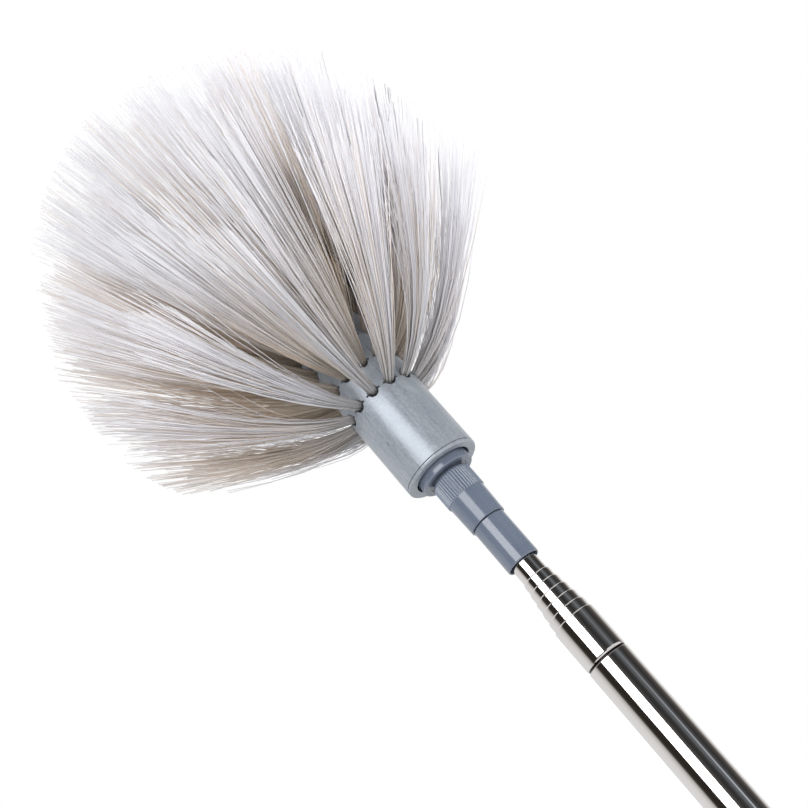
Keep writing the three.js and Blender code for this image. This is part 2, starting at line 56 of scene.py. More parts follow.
def turned(name, profile, steps):
    """Draws a profile of radius and height in millimetres point by point and spins it about the pole.
    A long run gets a ring close to each end, so that its shading stays flat."""
    points = profile[:1]
    for first, last in zip(profile, profile[1:]):
        run = math.dist(first, last)
        if run > LONG_RUN:
            for share in (END_RING / run, 1 - END_RING / run):
                points.append(tuple(a + (b - a) * share for a, b in zip(first, last)))
        points.append(last)
    profile = points
    bpy.ops.object.select_all(action="DESELECT")
    bpy.ops.mesh.primitive_plane_add(size=mm)
    piece = bpy.context.object
    piece.name = name
    bpy.ops.object.mode_set(mode="EDIT")
    bpy.ops.mesh.merge(type="CENTER")
    bpy.ops.transform.translate(value=(profile[0][0] * mm, 0, profile[0][1] * mm))
    for (radius, height), (next_radius, next_height) in zip(profile, profile[1:]):
        step = ((next_radius - radius) * mm, 0, (next_height - height) * mm)
        bpy.ops.mesh.extrude_vertices_move(TRANSFORM_OT_translate={"value": step})
    bpy.ops.mesh.select_all(action="SELECT")
    bpy.ops.mesh.spin(steps=steps, angle=math.tau, center=(0, 0, 0), axis=(0, 0, 1))
    bpy.ops.mesh.select_all(action="SELECT")
    bpy.ops.mesh.remove_doubles(threshold=0.002 * mm)
    bpy.ops.mesh.normals_make_consistent(inside=False)
    bpy.ops.object.mode_set(mode="OBJECT")
    return piece


def applied(piece, kind, **settings):
    alone(piece)
    modifier = piece.modifiers.new("shape", kind)
    for key, value in settings.items():
        setattr(modifier, key, value)
    bpy.ops.object.modifier_apply(modifier=modifier.name)


def cut_away(piece, cutter):
    applied(piece, "BOOLEAN", operation="DIFFERENCE", solver="EXACT", object=cutter)
    bpy.data.objects.remove(cutter)


SHARP_EDGE = 35


def smoothed(piece, degrees):
    alone(piece)
    bpy.ops.object.shade_smooth_by_angle(angle=math.radians(degrees))


def softened(piece, width, segments=3):
    applied(
        piece,
        "BEVEL",
        width=width * mm,
        segments=segments,
        limit_method="ANGLE",
        angle_limit=math.radians(SHARP_EDGE),
    )
    smoothed(piece, SHARP_EDGE)


class Shade:
    """One socket of a material's nodes, so that sums on it are written as plain arithmetic."""

    def __init__(self, tree, socket=None):
        self.tree = tree
        self.socket = socket

    def make(self, kind, settings=None, inputs=None, output=0):
        node = self.tree.nodes.new("ShaderNode" + kind)
        for key, value in (settings or {}).items():
            if key == "stops":
                stops = node.color_ramp.elements
                for place, colour in value[1:-1]:
                    stops.new(place).color = colour
                stops[0].position, stops[0].color = value[0]
                stops[-1].position, stops[-1].color = value[-1]
            else:
                setattr(node, key, value)
        for key, value in (inputs or {}).items():
            if isinstance(value, Shade):
                self.tree.links.new(value.socket, node.inputs[key])
            else:
                node.inputs[key].default_value = value
        return Shade(self.tree, node.outputs[output])

    def to(self, shader, socket):
        self.tree.links.new(self.socket, shader.inputs[socket])

    def sum(self, operation, first, second):
        return self.make("Math", {"operation": operation}, {0: first, 1: second})

    def __add__(self, other):
        return self.sum("ADD", self, other)

    def __radd__(self, other):
        return self.sum("ADD", other, self)

    def __sub__(self, other):
        return self.sum("SUBTRACT", self, other)

    def __rsub__(self, other):
        return self.sum("SUBTRACT", other, self)

    def __mul__(self, other):
        return self.sum("MULTIPLY", self, other)

    def __rmul__(self, other):
        return self.sum("MULTIPLY", other, self)

    def __truediv__(self, other):
        return self.sum("DIVIDE", self, other)

    def __gt__(self, other):
        return self.sum("GREATER_THAN", self, other)

    def __lt__(self, other):
        return self.sum("LESS_THAN", self, other)


def finish(name, constants):
    """A material, its shader with the constants set, and a start for its nodes."""
    material = bpy.data.materials.new(name)
    material.use_nodes = True
    shader = material.node_tree.nodes["Principled BSDF"]
    for socket, value in constants.items():
        shader.inputs[socket].default_value = value
    return material, shader, Shade(material.node_tree)


def speckle(start, scale, detail, stretch=(1, 1, 1)):
    """Noise on the piece's own coordinates, in specks per metre.
    A small stretch along an axis draws the specks out along it."""
    place = start.make("TexCoord", output="Object")
    place = start.make("VectorMath", {"operation": "MULTIPLY"}, {0: place, 1: stretch})
    return start.make("TexNoise", {}, {"Vector": place, "Scale": scale, "Detail": detail})


def blend(start, amount, first, second):
    return start.make("Mix", {"data_type": "RGBA"}, {0: amount, 6: first, 7: second}, 2)


def grip_marks(start, height, strength, distance):
    return start.make("Bump", {}, {"Strength": strength, "Distance": distance * mm, "Height": height})


NECK_DARK = (0.094, 0.116, 0.158, 1)
NECK_PALE = (0.122, 0.146, 0.192, 1)
neck_plastic, shader, start = finish("neck_plastic", {"Specular IOR Level": 0.8})
cloud = speckle(start, 70, 4)
grain = speckle(start, 1100, 2)
smudge = speckle(start, 38, 5)
blend(start, cloud, NECK_DARK, NECK_PALE).to(shader, "Base Color")
(0.1 + 0.08 * smudge + 0.02 * grain).to(shader, "Roughness")
grip_marks(start, grain, 0.01, 0.02).to(shader, "Normal")

CAP_RADIUS = 13.5
CAP_BEVEL = 2.0
CAP_TOP = 24.0
CAP_SPIGOT = 10.55
CAP_SPIGOT_TOP = 26.6
CAP_SPIGOT_BEVEL = 0.5
PADDLE_TOP = 18.0
PADDLE_HALF = 6.5
PADDLE_FILLET = 4.0
CUT_DEPTH = 20.0
CUT_BELOW = 5.0
HOOK_HOLE = 4.5
HOOK_HEIGHT = 9.5
end_cap = turned(
    "end_cap_plug",
    [
        (0, 0),
        (CAP_RADIUS - CAP_BEVEL, 0),
        (CAP_RADIUS, CAP_BEVEL),
        (CAP_RADIUS, CAP_TOP),
        (CAP_SPIGOT, CAP_TOP),
        (CAP_SPIGOT, CAP_SPIGOT_TOP - CAP_SPIGOT_BEVEL),
        (CAP_SPIGOT - CAP_SPIGOT_BEVEL, CAP_SPIGOT_TOP),
        (0, CAP_SPIGOT_TOP),
    ],
    96,
)
for side in (-1, 1):
    bpy.ops.object.select_all(action="DESELECT")
    bpy.ops.mesh.primitive_cube_add(
        size=1,
        location=(0, side * (PADDLE_HALF + CUT_DEPTH / 2) * mm, (PADDLE_TOP - CUT_BELOW) / 2 * mm),
        scale=(2 * CUT_DEPTH * mm, CUT_DEPTH * mm, (PADDLE_TOP + CUT_BELOW) * mm),
    )
    flat = bpy.context.object
    bpy.ops.object.mode_set(mode="EDIT")
    bpy.ops.mesh.select_all(action="DESELECT")
    bpy.ops.object.mode_set(mode="OBJECT")
    for edge in flat.data.edges:
        ends = [flat.data.vertices[v].co for v in edge.vertices]
        edge.select = all(end.z > 0 and end.y * side < 0 for end in ends)
    bpy.ops.object.mode_set(mode="EDIT")
    bpy.ops.mesh.bevel(offset=PADDLE_FILLET * mm, segments=6, affect="EDGES")
    bpy.ops.object.mode_set(mode="OBJECT")
    cut_away(end_cap, flat)
bpy.ops.object.select_all(action="DESELECT")
bpy.ops.mesh.primitive_cylinder_add(
    vertices=48,
    radius=HOOK_HOLE * mm,
    depth=2 * CUT_DEPTH * mm,
    location=(0, 0, HOOK_HEIGHT * mm),
    rotation=(math.pi / 2, 0, 0),
)
cut_away(end_cap, bpy.context.object)
softened(end_cap, 0.5)
end_cap.data.materials.append(neck_plastic)
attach(end_cap, "handle")
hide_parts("end_cap")

# Handle grip: a sleeve of matte blue-grey plastic, moulded with five shallow finger grooves.
# It is slid over the foot of the widest tube and rests on the shoulder of the end cap.
GRIP_FOOT = 24.1
GRIP_LENGTH = 110.0
GRIP_RADIUS = 13.5
GRIP_BORE = 11.15
GRIP_ROUNDING = 1.4
GRIP_EDGE = 1.5
GRIP_STATION = 0.5
GROOVES = 5
GROOVE_HALF = 3.5
GROOVE_DEPTH = 0.8
grip_side = []
for station in range(round((GRIP_LENGTH - 2 * GRIP_EDGE) / GRIP_STATION) + 1):
    along = GRIP_EDGE + station * GRIP_STATION
    depth = 0
    for groove in range(GROOVES):
        away = abs(along - GRIP_LENGTH * (groove + 1) / (GROOVES + 1)) / GROOVE_HALF
        if away < 1:
            depth = GROOVE_DEPTH * (0.5 + 0.5 * math.cos(math.pi * away)) ** 0.7
    grip_side.append((GRIP_RADIUS - depth, GRIP_FOOT + along))
grip_top = GRIP_FOOT + GRIP_LENGTH
grip_end = []
for turn in range(0, 91, 15):
    out = GRIP_ROUNDING * math.cos(math.radians(turn))
    rise = GRIP_ROUNDING * math.sin(math.radians(turn))
    grip_end.append((GRIP_RADIUS - GRIP_ROUNDING + out, grip_top - GRIP_ROUNDING + rise))
handle_grip = turned(
    "handle_grip_sleeve",
    [(GRIP_BORE, GRIP_FOOT), (GRIP_RADIUS - 0.5, GRIP_FOOT), (GRIP_RADIUS, GRIP_FOOT + 0.6)]
    + grip_side
    + grip_end
    + [(GRIP_BORE + 0.3, grip_top), (GRIP_BORE, grip_top - 0.4), (GRIP_BORE, GRIP_FOOT)],
    128,
)
smoothed(handle_grip, SHARP_EDGE)


def ranged(start, value, first, last, low=0.0, high=1.0):
    """Brings a value from one range to another and stops it at the ends."""
    return start.make("MapRange", {}, {0: value, 1: first, 2: last, 3: low, 4: high})


def off_axis(start):
    """How far a point of a piece is from the pole's axis."""
    place = start.make("TexCoord", output="Object")
    flat_place = start.make("VectorMath", {"operation": "MULTIPLY"}, {0: place, 1: (1, 1, 0)})
    return start.make("VectorMath", {"operation": "LENGTH"}, {0: flat_place}, "Value")


grip_plastic, shader, start = finish("grip_plastic", {"IOR": 1.48})
cloud = speckle(start, 45, 4)
pebble = start.make(
    "TexVoronoi",
    {"feature": "SMOOTH_F1"},
    {"Vector": start.make("TexCoord", output="Object"), "Scale": 1500.0, "Smoothness": 0.6},
)
handled = ranged(start, off_axis(start), (GRIP_RADIUS - 0.75) * mm, GRIP_RADIUS * mm)
worn = blend(start, cloud, (0.085, 0.105, 0.135, 1), (0.115, 0.137, 0.17, 1))
blend(start, handled * 0.35, worn, (0.16, 0.185, 0.22, 1)).to(shader, "Base Color")
(0.62 - 0.16 * handled * cloud + 0.08 * pebble).to(shader, "Roughness")
grip_marks(start, pebble, 0.35, 0.12).to(shader, "Normal")
handle_grip.data.materials.append(grip_plastic)
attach(handle_grip, "handle")
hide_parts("handle_grip")

# Pole: seven thin-walled steel tubes, drawn, polished and plated, each sliding in the one below.
# Each mouth is rolled in to guide the next tube, and a rolled groove below it is the stop.
TUBE_COUNT = 7
TUBE_RADIUS = 11.0
RADIUS_DROP = 0.7
TUBE_WALL = 0.3
TUBE_LENGTH = 380.0
FIRST_FOOT = 24.1
FOOT_STEP = 5.4
DEBURRED = 0.08
DEBURRED_INSIDE = 0.05
STOP_BELOW_MOUTH = 24.4
STOP_ABOVE = 2.4
STOP_UNDER = 0.7
STOP_DEPTH = 0.42
ROLL_HEIGHT = 1.4
MOUTH_GAP = 0.12
TIP_TUBE_TOP = 462.0
# The stop groove's steel is painted dark as painted shade: how far up the groove it reaches, and how fast
# it darkens.
SHADED_GROOVE_TOP = 0.9
SHADED_GROOVE_GAIN = 2.2

polished_steel, shader, start = finish("polished_steel", {"Metallic": 1.0})
drawn = speckle(start, 1, 3, (2600, 2600, 9))
smear = speckle(start, 26, 5, (1, 1, 0.35))
hairline = speckle(start, 1, 2, (900, 900, 60))
fine_scratch = ranged(start, hairline, 0.66, 0.74)
# Painted shade: in the stop groove the steel's colour goes to near black, and it is rougher there.
grime = start.make("Attribute", {"attribute_name": "grime"}, output="Fac")
bright = blend(start, smear, (0.7, 0.68, 0.672, 1), (0.64, 0.622, 0.615, 1))
blend(start, grime, bright, (0.02, 0.017, 0.016, 1)).to(shader, "Base Color")
(0.03 + 0.04 * smear + 0.08 * fine_scratch + 0.2 * grime).to(shader, "Roughness")
grip_marks(start, drawn, 0.03, 0.02).to(shader, "Normal")

for section in range(1, TUBE_COUNT + 1):
    outside = TUBE_RADIUS - RADIUS_DROP * (section - 1)
    inside = outside - TUBE_WALL
    foot = FIRST_FOOT + FOOT_STEP * (section - 1)
    wall_out = [(outside - DEBURRED, foot), (outside, foot + DEBURRED)]
    wall_in = [(inside + DEBURRED_INSIDE, foot), (inside, foot + DEBURRED)]
    if section < TUBE_COUNT:
        mouth = foot + TUBE_LENGTH
        stop = mouth - STOP_BELOW_MOUTH
        for station in range(-6, 11):
            away = station / 6 if station < 0 else station / 10
            height = stop + away * (STOP_UNDER if station < 0 else STOP_ABOVE)
            dip = STOP_DEPTH * (0.5 + 0.5 * math.cos(math.pi * away))
            wall_out.append((outside - dip, height))
            wall_in.append((inside - 0.65 * dip, height))
        lip = outside - RADIUS_DROP + MOUTH_GAP
        for turn in range(0, 91, 10):
            angle = math.radians(turn)
            rolled_to = lip + (outside - lip) * math.cos(angle)
            wall_out.append((rolled_to, mouth - ROLL_HEIGHT * (1 - math.sin(angle))))
        wall_in.append((inside, mouth - ROLL_HEIGHT - 0.1))
        wall_in.append((lip, mouth - 0.3))
    else:
        wall_out += [(outside, TIP_TUBE_TOP - DEBURRED), (outside - DEBURRED, TIP_TUBE_TOP)]
        wall_in += [(inside, TIP_TUBE_TOP - DEBURRED_INSIDE), (inside + DEBURRED_INSIDE, TIP_TUBE_TOP)]
    tube = turned("tube_%d_steel" % section, wall_out + wall_in[::-1] + wall_out[:1], 160)
    smoothed(tube, 40)
    # Each vertex in a stop groove gets a painted shade value, strongest towards the groove's bottom.
    shaded_groove_layer = tube.data.attributes.new("grime", "FLOAT", "POINT")
    for vertex, speck in zip(tube.data.vertices, shaded_groove_layer.data):
        depth = outside - math.hypot(vertex.co.x, vertex.co.y) / mm
        above = vertex.co.z / mm - stop
        in_groove = -STOP_UNDER < above < SHADED_GROOVE_TOP and depth < STOP_DEPTH + 0.01
        speck.value = min(1, SHADED_GROOVE_GAIN * depth / STOP_DEPTH) if section < TUBE_COUNT and in_groove else 0
    tube.data.materials.append(polished_steel)
    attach(tube, "handle" if section == 1 else "section_%d" % section)
    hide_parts("tube_%d" % section)

# Bushes and friction springs: at the foot of each sliding tube a moulded black bush guides it, and
# above the bush a slit ring of rolled brass strip presses on the tube outside. They are hidden inside
# the pole and keep the shapes of the frame.
bush_plastic, shader, start = finish("bush_plastic", {"IOR": 1.5})
grain = speckle(start, 1800, 3)
rubbed = speckle(start, 1, 3, (700, 700, 30))
blend(start, rubbed, (0.018, 0.018, 0.02, 1), (0.05, 0.05, 0.055, 1)).to(shader, "Base Color")
(0.42 + 0.2 * grain).to(shader, "Roughness")
grip_marks(start, grain, 0.15, 0.05).to(shader, "Normal")
spring_brass, shader, start = finish("spring_brass", {"Metallic": 1.0})
rolled = speckle(start, 1, 3, (40, 40, 2200))
tarnish = speckle(start, 160, 4)
blend(start, tarnish, (0.62, 0.43, 0.16, 1), (0.45, 0.3, 0.12, 1)).to(shader, "Base Color")
(0.22 + 0.2 * tarnish + 0.1 * rolled).to(shader, "Roughness")
grip_marks(start, rolled, 0.1, 0.03).to(shader, "Normal")
for section in range(2, TUBE_COUNT + 1):
    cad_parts["bush_%d" % section].material_slots[0].material = bush_plastic
    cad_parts["friction_spring_%d" % section].material_slots[0].material = spring_brass

# Pole socket: a turned-looking sleeve of glossy blue-grey plastic, pressed on the thinnest tube.
# Its mouth stands clear of the tube, and a stem above carries the screw collar, kept on by a spring clip.
SOCKET_FOOT = 440.1
SOCKET_TOP = 466.8
SOCKET_RADIUS = 9.0
SOCKET_BORE = 6.95
SOCKET_BORE_TOP = 462.1
MOUTH_BORE = 8.2
MOUTH_TOP = 444.1
STEM_RADIUS = 6.2
STEM_TOP = 527.9
CLIP_GROOVE_FOOT = 524.7
CLIP_GROOVE_TOP = 525.9
CLIP_GROOVE_DEPTH = 1.0
pole_socket = turned(
    "pole_socket_sleeve",
    [
        (0, SOCKET_BORE_TOP),
        (SOCKET_BORE, SOCKET_BORE_TOP),
        (SOCKET_BORE, MOUTH_TOP),
        (MOUTH_BORE, MOUTH_TOP),
        (MOUTH_BORE, SOCKET_FOOT + 0.2),
        (MOUTH_BORE + 0.15, SOCKET_FOOT),
        (SOCKET_RADIUS - 0.3, SOCKET_FOOT),
        (SOCKET_RADIUS, SOCKET_FOOT + 0.45),
        (SOCKET_RADIUS, SOCKET_TOP - 0.3),
        (SOCKET_RADIUS - 0.3, SOCKET_TOP),
        (STEM_RADIUS, SOCKET_TOP),
        (STEM_RADIUS, CLIP_GROOVE_FOOT),
        (STEM_RADIUS - CLIP_GROOVE_DEPTH, CLIP_GROOVE_FOOT),
        (STEM_RADIUS - CLIP_GROOVE_DEPTH, CLIP_GROOVE_TOP),
        (STEM_RADIUS, CLIP_GROOVE_TOP),
        (STEM_RADIUS, STEM_TOP - 0.6),
        (STEM_RADIUS - 0.6, STEM_TOP),
        (0, STEM_TOP),
    ],
    128,
)
softened(pole_socket, 0.12, 2)
pole_socket.data.materials.append(neck_plastic)
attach(pole_socket, "section_7")
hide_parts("pole_socket")

clip_steel, shader, start = finish("clip_steel", {"Metallic": 1.0})
brushed = speckle(start, 1, 3, (1200, 1200, 1200))
blend(start, brushed, (0.52, 0.52, 0.52, 1), (0.4, 0.4, 0.41, 1)).to(shader, "Base Color")
(0.26 + 0.16 * brushed).to(shader, "Roughness")
grip_marks(start, brushed, 0.08, 0.03).to(shader, "Normal")
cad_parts["collar_clip"].material_slots[0].material = clip_steel

# Screw collar: a union nut of the same glossy plastic, moulded in one with a disc that closes the
# recess of the hub, a grip with straight ribs, a tapered skirt and a threaded spigot.
# It turns on the stem of the socket and draws the bristle head down.
SKIRT_FOOT = 467.1
KNURL_FOOT = 483.9
DISC_FOOT = 498.4
DISC_TOP = 507.8
SPIGOT_TOP = 524.4
COLLAR_BORE = 6.5
SKIRT_RADIUS = 9.85
RIB_ROOT = 10.3
RIB_HEIGHT = 0.65
RIBS = 44
RIB_FACETS = 6
RELIEF_DEPTH = 2.0
DISC_RADIUS = 14.85
DISC_ROUNDING = 0.6
SPIGOT_RADIUS = 9.0
THREAD_PITCH = 4.0
THREAD_FOOT = 510.4
THREAD_SUNK = 0.3
THREAD_CREST = 10.4
THREAD_ROOT_HALF = 1.25
THREAD_CREST_HALF = 0.5
rib_shape = (0.0, 0.6, 1.0, 1.0, 0.6, 0.0)
rib_stations = [
    (KNURL_FOOT, 0),
    (KNURL_FOOT + 0.25, 0.75),
    (KNURL_FOOT + 0.6, 1),
    (DISC_FOOT - 3.0, 1),
    (DISC_FOOT - 2.0, 0.7),
    (DISC_FOOT - 1.6, 0),
]
rib_heights, rib_rises = zip(*rib_stations)
disc_edge = []
for turn in range(0, 91, 15):
    out = DISC_ROUNDING * math.sin(math.radians(turn))
    rise = DISC_ROUNDING * (1 - math.cos(math.radians(turn)))
    disc_edge.append((DISC_RADIUS - DISC_ROUNDING + out, DISC_FOOT + rise))
screw_collar = turned(
    "screw_collar_nut",
    [
        (COLLAR_BORE, SKIRT_FOOT),
        (SKIRT_RADIUS - 0.25, SKIRT_FOOT),
        (SKIRT_RADIUS - 0.07, SKIRT_FOOT + 0.08),
        (SKIRT_RADIUS, SKIRT_FOOT + 0.3),
        (RIB_ROOT, KNURL_FOOT - 0.05),
    ]
    + [(RIB_ROOT, height) for height in rib_heights]
    + [
        (RIB_ROOT, DISC_FOOT - 1.3),
        (RIB_ROOT - 0.2, DISC_FOOT - 1.1),
        (RIB_ROOT - RELIEF_DEPTH, DISC_FOOT - 1.0),
        (RIB_ROOT - RELIEF_DEPTH, DISC_FOOT + 0.6),
        (RIB_ROOT + 0.9, DISC_FOOT + 0.6),
        (RIB_ROOT + 1.1, DISC_FOOT + 0.1),
        (RIB_ROOT + 1.3, DISC_FOOT),
    ]
    + disc_edge
    + [
        (DISC_RADIUS, DISC_TOP - 0.8),
        (DISC_RADIUS - 0.25, DISC_TOP - 0.25),
        (DISC_RADIUS - 0.8, DISC_TOP),
        (SPIGOT_RADIUS, DISC_TOP),
        (SPIGOT_RADIUS, SPIGOT_TOP - 0.5),
        (SPIGOT_RADIUS - 0.5, SPIGOT_TOP),
        (COLLAR_BORE, SPIGOT_TOP),
        (COLLAR_BORE, SKIRT_FOOT),
    ],
    RIBS * RIB_FACETS,
)
for vertex in screw_collar.data.vertices:
    reach = math.hypot(vertex.co.x, vertex.co.y)
    if abs(reach - RIB_ROOT * mm) > 0.01 * mm:
        continue
    rise = np.interp(vertex.co.z / mm, rib_heights, rib_rises)
    facet = round(math.atan2(vertex.co.y, vertex.co.x) / math.tau * RIBS * RIB_FACETS)
    grown = 1 + RIB_HEIGHT * mm * rise * rib_shape[facet % RIB_FACETS] / reach
    vertex.co.x *= grown
    vertex.co.y *= grown
smoothed(screw_collar, 50)


def screw_ridge(name, root, crest, root_half, crest_half, foot, turns):
    """A ridge of right-hand thread: its section drawn as four edges, then carried up the helix."""
    bpy.ops.object.select_all(action="DESELECT")
    bpy.ops.mesh.primitive_plane_add(size=mm)
    ridge = bpy.context.object
    ridge.name = name
    corners = [(root, -root_half), (crest, -crest_half), (crest, crest_half), (root, root_half)]
    around = sorted(ridge.data.vertices, key=lambda v: math.atan2(v.co.y, v.co.x))
    for vertex, (radius, offset) in zip(around, corners):
        vertex.co = (radius * mm, 0, (foot + offset) * mm)
    bpy.ops.object.mode_set(mode="EDIT")
    bpy.ops.mesh.select_all(action="SELECT")
    bpy.ops.mesh.delete(type="ONLY_FACE")
    bpy.ops.object.mode_set(mode="OBJECT")
    applied(
        ridge,
        "SCREW",
        axis="Z",
        angle=math.tau * turns,
        screw_offset=THREAD_PITCH * mm * turns,
        steps=round(48 * turns),
        render_steps=round(48 * turns),
        use_merge_vertices=False,
    )
    bpy.ops.object.mode_set(mode="EDIT")
    bpy.ops.mesh.select_all(action="SELECT")
    bpy.ops.mesh.fill_holes(sides=4)
    bpy.ops.mesh.select_all(action="SELECT")
    bpy.ops.mesh.normals_make_consistent(inside=False)
    bpy.ops.object.mode_set(mode="OBJECT")
    return ridge


collar_thread = screw_ridge(
    "collar_thread",
    SPIGOT_RADIUS - THREAD_SUNK,
    THREAD_CREST,
    THREAD_ROOT_HALF,
    THREAD_CREST_HALF,
    THREAD_FOOT,
    3,
)
smoothed(collar_thread, 30)
screw_collar.select_set(True)
bpy.context.view_layer.objects.active = screw_collar
bpy.ops.object.join()


def own_axis(start, axis):
    return start.make("SeparateXYZ", {}, {0: start.make("TexCoord", output="Object")}, axis)


collar_plastic, shader, start = finish("collar_plastic", {"Specular IOR Level": 0.7})
cloud = speckle(start, 70, 4)
grain = speckle(start, 1100, 2)
smudge = speckle(start, 38, 5)
height = own_axis(start, "Z")
crest = ranged(start, off_axis(start), (RIB_ROOT + 0.1) * mm, (RIB_ROOT + 0.5) * mm)
ribbed = (height > (KNURL_FOOT - 0.1) * mm) * (1 - 0.9 * (height > (DISC_FOOT - 1.9) * mm))
tint = blend(start, cloud, NECK_DARK, NECK_PALE)
blend(start, ribbed * crest * (0.7 + 0.3 * cloud), tint, (0.185, 0.215, 0.272, 1)).to(shader, "Base Color")
(0.1 + 0.08 * smudge + 0.02 * grain + 0.12 * ribbed).to(shader, "Roughness")
grip_marks(start, grain, 0.01, 0.02).to(shader, "Normal")
screw_collar.data.materials.append(collar_plastic)
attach(screw_collar, "collar")
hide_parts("screw_collar")

# Hub base: the end ring of the bristle head in satin grey plastic, with a rounded edge and a recess
# for the collar's disc. Its plug, threaded inside for the collar, is pushed up the bore of the shell.
HUB_RADIUS = 20.8
RIM_FOOT = 502.7
RIM_ROUNDING = 1.2
SEAM = 504.4
RECESS_RADIUS = 15.9
RECESS_TOP = 508.4
PLUG_RADIUS = 17.0
PLUG_TOP = 542.7
BORE_TOP = 530.9
THREAD_GAP = 0.35
rim_edge = []
for turn in range(0, 91, 9):
    angle = math.radians(turn)
    out = RIM_ROUNDING * (1 - math.sin(angle))
    rim_edge.append((HUB_RADIUS - out, RIM_FOOT + RIM_ROUNDING * (1 - math.cos(angle))))
hub_base = turned(
    "hub_base_ring",
    [
        (0, BORE_TOP),
        (SPIGOT_RADIUS + THREAD_GAP, BORE_TOP),
        (SPIGOT_RADIUS + THREAD_GAP, RECESS_TOP),
        (RECESS_RADIUS, RECESS_TOP),
        (RECESS_RADIUS, RIM_FOOT + 0.5),
        (RECESS_RADIUS + 0.15, RIM_FOOT + 0.15),
        (RECESS_RADIUS + 0.5, RIM_FOOT),
    ]
    + rim_edge
    + [
        (HUB_RADIUS, SEAM - 0.2),
        (HUB_RADIUS - 0.2, SEAM),
        (PLUG_RADIUS, SEAM),
        (PLUG_RADIUS, PLUG_TOP),
        (0, PLUG_TOP),
    ],
    144,
)
base_thread = screw_ridge(
    "base_thread",
    SPIGOT_RADIUS - THREAD_SUNK,
    THREAD_CREST + THREAD_GAP,
    THREAD_ROOT_HALF + THREAD_GAP,
    THREAD_CREST_HALF + THREAD_GAP,
    THREAD_FOOT - 2 * THREAD_PITCH,
    5.5,
)
cut_away(hub_base, base_thread)
smoothed(hub_base, 30)


def bearing_of(start):
    """The bearing of a point of a piece about the pole, from the front and to the right."""
    ahead = 0 - own_axis(start, "Y")
    return start.make("Math", {"operation": "ARCTAN2"}, {0: own_axis(start, "X"), 1: ahead})


def close_to(start, value, target, within):
    return start.make("Math", {"operation": "ABSOLUTE"}, {0: value - target}) < within


hub_plastic, shader, start = finish("hub_plastic", {"Metallic": 0.35})
cloud = speckle(start, 55, 4)
grain = ranged(start, speckle(start, 800, 3), 0.3, 0.7)
drawn = ranged(start, speckle(start, 1, 3, (700, 700, 60)), 0.3, 0.7)
spot = speckle(start, 430, 2, (1, 1, 0.6))
bearing = bearing_of(start)
mould_line = close_to(start, bearing, -0.72, 0.007)
second_line = close_to(start, bearing, -0.9, 0.005)
scuff = ranged(start, spot, 0.715, 0.735)
mottled = 0.3 * cloud + 0.35 * drawn + 0.35 * grain
tint = blend(start, mottled, (0.18, 0.203, 0.234, 1), (0.372, 0.404, 0.45, 1))
tint = blend(start, 0.35 * mould_line + 0.2 * second_line + 0.4 * scuff, tint, (0.16, 0.18, 0.21, 1))
tint.to(shader, "Base Color")
(0.27 + 0.1 * grain + 0.14 * drawn - 0.04 * cloud).to(shader, "Roughness")
grip_marks(start, 0.5 * grain + 0.6 * drawn - 0.6 * mould_line - scuff, 0.4, 0.06).to(shader, "Normal")
hub_base.data.materials.append(hub_plastic)
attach(hub_base, "head")
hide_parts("hub_base")

# Hub shell: a straight cup of satin grey plastic with a low domed end, pushed over the base's plug.
# Four staggered rows of holes round it and seven on the dome take the tufts; each hole has a small
# bevel and two notches where the staple that holds the tuft was driven in.
SHELL_FOOT = 504.7
SHELL_BORE = 17.3
SHOULDER = 607.8
DOME_HEIGHT = 14.5
SHELL_WALL = 3.5
TUFT_HOLE = 3.0
HOLE_DEPTH = 8.0
HOLE_ABOVE = 4.0
NOTCHES = (8.6 * mm, 1.2 * mm, 9.0 * mm)
TUFT_ROWS = [
    {"count": 12, "turn": -2, "radius": 20.8, "height": 551.1, "lean": 75, "tip": 105, "fullness": 1.0},
    {"count": 12, "turn": 13, "radius": 20.8, "height": 567.3, "lean": 70, "tip": 86, "fullness": 1.35},
    {"count": 12, "turn": -2, "radius": 20.8, "height": 583.5, "lean": 62, "tip": 66, "fullness": 1.35},
    {"count": 12, "turn": 13, "radius": 20.8, "height": 599.7, "lean": 52, "tip": 46, "fullness": 1.35},
    {"count": 6, "turn": -2, "radius": 11.02, "height": 620.1, "lean": 22, "tip": 24, "fullness": 1.35},
    {"count": 1, "turn": 0, "radius": 0.0, "height": 622.3, "lean": 0, "tip": 0, "fullness": 1.35},
]


def tuft_frame(row, tuft):
    """A tuft's bearing, its hole's mouth and its own axes: along the circle, ahead and out of the hole."""
    bearing = math.radians(row["turn"] + 360 * tuft / row["count"])
    lean = math.radians(row["lean"])
    outward = Vector((math.sin(bearing), -math.cos(bearing), 0))
    along = Vector((math.cos(bearing), math.sin(bearing), 0))
    up = Vector((0, 0, 1))
    axis = outward * math.sin(lean) + up * math.cos(lean)
    front = up * math.sin(lean) - outward * math.cos(lean)
    mouth = outward * row["radius"] + up * row["height"]
    return bearing, mouth, along, front, axis


